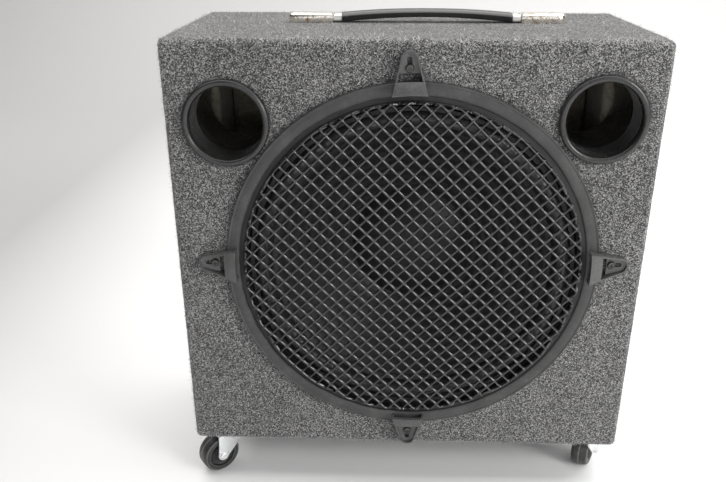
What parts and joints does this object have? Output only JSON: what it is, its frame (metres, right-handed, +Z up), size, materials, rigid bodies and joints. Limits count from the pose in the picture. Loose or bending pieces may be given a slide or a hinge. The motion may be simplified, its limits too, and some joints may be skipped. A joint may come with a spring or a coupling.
{
  "type": "subwoofer",
  "caption": "Carpeted subwoofer cabinet with a waffle-grille driver, twin front ports, strap handle and swivel casters.",
  "frame": {"origin": "on the floor under the middle of the whole object", "axes": "+Z up, front and grille face -Y, +X to the right seen from the front"},
  "size_m": [0.5028, 0.262, 0.5455],
  "materials": {
    "carpet": "needle-felt speaker carpet, salt-and-pepper grey, fuzzy",
    "panel_wood": "raw particle board",
    "wadding": "cream polyester wadding",
    "port_plastic": "black moulded plastic, satin",
    "basket_paint": "black stoved enamel on pressed steel",
    "gasket_foam": "black foam",
    "surround_rubber": "black rubber half roll",
    "cone_paper": "dark grey pressed paper with fine ribs",
    "cap_paper": "dark pressed paper",
    "former_foil": "thin aluminium former",
    "copper_wire": "enamelled copper wire, stood in for by brass",
    "spider_cloth": "resin-dipped cloth, yellowish",
    "zinc_plate": "zinc-plated steel",
    "ferrite": "dark grey ferrite",
    "tag_board": "brown phenolic board with tinned tags",
    "tinsel": "braided copper tinsel",
    "black_screws": "black steel machine screws",
    "zinc_fastener": "zinc-plated steel",
    "grille_steel": "black powder coat, satin",
    "trim_rubber": "black rubber, dusty grey bloom",
    "clamp_plastic": "black moulded plastic, satin",
    "clamp_screw_steel": "dulled steel cross-head screws",
    "strap_steel": "bright plated spring steel",
    "grip_vinyl": "glossy black vinyl",
    "handle_end_metal": "worn nickel plate over brass",
    "caster_zinc": "bright zinc-plated pressed steel",
    "wheel_plastic": "black moulded plastic, scuffed tread",
    "dish_plastic": "black moulded plastic, fine grain",
    "jack_plastic": "black glossy plastic",
    "lead_pvc": "black PVC insulation"
  },
  "bodies": {
    "cabinet": {"carpet_cover": "carpet", "front_baffle": "panel_wood", "back_panel": "panel_wood", "top_panel": "panel_wood", "bottom_panel": "panel_wood", "left_side_panel": "panel_wood", "right_side_panel": "panel_wood", "damping_wadding": "wadding", "left_port": "port_plastic", "right_port": "port_plastic", "driver_basket": "basket_paint", "driver_gasket": "gasket_foam", "magnet_top_plate": "zinc_plate", "magnet": "ferrite", "pole_yoke": "zinc_plate", "driver_terminals": "tag_board", "driver_bolts": "black_screws", "t_nuts": "zinc_fastener", "grille_mesh": "grille_steel", "grille_trim_ring": "trim_rubber", "clamp_top": "clamp_plastic", "clamp_bottom": "clamp_plastic", "clamp_left": "clamp_plastic", "clamp_right": "clamp_plastic", "clamp_screws": "clamp_screw_steel", "handle_end_left": "handle_end_metal", "handle_end_right": "handle_end_metal", "handle_screws": "zinc_fastener", "caster_rivets": "caster_zinc", "caster_screws": "zinc_fastener", "input_dish": "dish_plastic", "jack_input": "jack_plastic", "jack_link": "jack_plastic", "dish_screws": "black_screws", "internal_leads": "lead_pvc", "front_left_plate": "caster_zinc", "front_right_plate": "caster_zinc", "rear_left_plate": "caster_zinc", "rear_right_plate": "caster_zinc"},
    "cone_assembly": {"cone": "cone_paper", "dust_cap": "cap_paper", "voice_coil_former": "former_foil", "voice_coil_winding": "copper_wire", "surround": "surround_rubber", "spider": "spider_cloth", "tinsel_leads": "tinsel"},
    "handle_strap": {"handle_strap_core": "strap_steel", "handle_grip": "grip_vinyl"},
    "front_left_swivel": {"front_left_fork": "caster_zinc", "front_left_axle": "caster_zinc"},
    "front_left_roller": {"front_left_wheel": "wheel_plastic"},
    "front_right_swivel": {"front_right_fork": "caster_zinc", "front_right_axle": "caster_zinc"},
    "front_right_roller": {"front_right_wheel": "wheel_plastic"},
    "rear_left_swivel": {"rear_left_fork": "caster_zinc", "rear_left_axle": "caster_zinc"},
    "rear_left_roller": {"rear_left_wheel": "wheel_plastic"},
    "rear_right_swivel": {"rear_right_fork": "caster_zinc", "rear_right_axle": "caster_zinc"},
    "rear_right_roller": {"rear_right_wheel": "wheel_plastic"}
  },
  "joints": [
    {"name": "cone_travel", "type": "slide", "parent": "cabinet", "child": "cone_assembly", "axis": [0, -1, 0], "range_m": [-0.006, 0.006], "stiffness_N_per_m": 5300, "deforming": ["surround", "spider", "tinsel_leads"]},
    {"name": "handle_lift", "type": "slide", "parent": "cabinet", "child": "handle_strap", "axis": [0, 0, 1], "range_m": [0, 0.002]},
    {"name": "front_left_turn", "type": "hinge", "parent": "cabinet", "child": "front_left_swivel", "pos_m": [-0.216, -0.077, 0.0525], "axis": [0, 0, 1], "continuous": true},
    {"name": "front_left_spin", "type": "hinge", "parent": "front_left_swivel", "child": "front_left_roller", "pos_m": [-0.22999, -0.08833, 0.024], "axis": [-0.6293, 0.7771, 0], "continuous": true},
    {"name": "front_right_turn", "type": "hinge", "parent": "cabinet", "child": "front_right_swivel", "pos_m": [0.22, -0.077, 0.0525], "axis": [0, 0, 1], "continuous": true},
    {"name": "front_right_spin", "type": "hinge", "parent": "front_right_swivel", "child": "front_right_roller", "pos_m": [0.22873, -0.06126, 0.024], "axis": [0.8746, -0.4848, 0], "continuous": true},
    {"name": "rear_left_turn", "type": "hinge", "parent": "cabinet", "child": "rear_left_swivel", "pos_m": [-0.218, 0.093, 0.0525], "axis": [0, 0, 1], "continuous": true},
    {"name": "rear_left_spin", "type": "hinge", "parent": "rear_left_swivel", "child": "rear_left_roller", "pos_m": [-0.20061, 0.09766, 0.024], "axis": [0.2588, -0.9659, 0], "continuous": true},
    {"name": "rear_right_turn", "type": "hinge", "parent": "cabinet", "child": "rear_right_swivel", "pos_m": [0.218, 0.093, 0.0525], "axis": [0, 0, 1], "continuous": true},
    {"name": "rear_right_spin", "type": "hinge", "parent": "rear_right_swivel", "child": "rear_right_roller", "pos_m": [0.20109, 0.09916, 0.024], "axis": [0.342, 0.9397, 0], "continuous": true}
  ]
}
